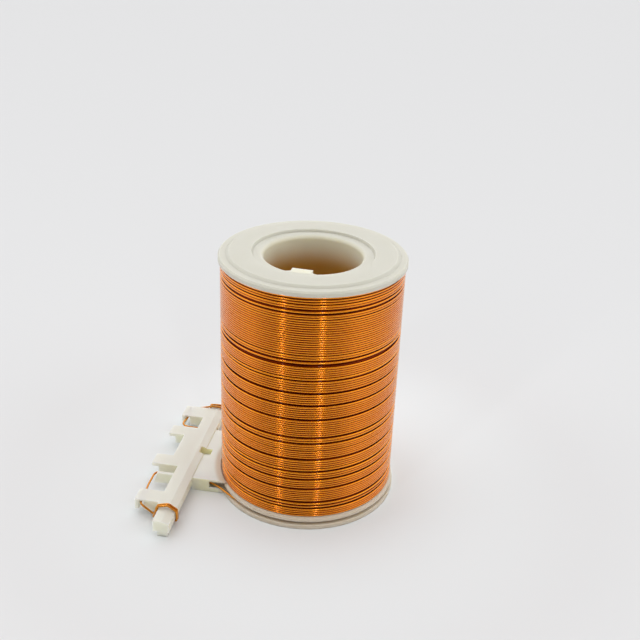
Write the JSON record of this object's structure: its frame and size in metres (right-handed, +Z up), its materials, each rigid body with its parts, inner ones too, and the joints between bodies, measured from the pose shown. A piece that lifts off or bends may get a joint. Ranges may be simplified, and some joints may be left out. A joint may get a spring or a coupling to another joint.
{
  "type": "bobbin wound coil",
  "caption": "Flanged plastic bobbin with a keyed bore, wound with enamelled copper wire, with a pegged terminal strip on its lower flange.",
  "frame": {"origin": "middle of the part's box, on the plane that the coil stands on", "axes": "+Z up along the bore, -X towards the terminal strip, +Y along the strip"},
  "size_m": [0.0466, 0.0418, 0.0482],
  "materials": {
    "nylon": "satin, slightly translucent natural nylon",
    "enamelled_copper": "gloss, orange enamel over copper"
  },
  "bodies": {
    "root": {"bobbin": "nylon", "winding": "enamelled_copper", "start_lead": "enamelled_copper", "finish_lead": "enamelled_copper"}
  },
  "joints": []
}
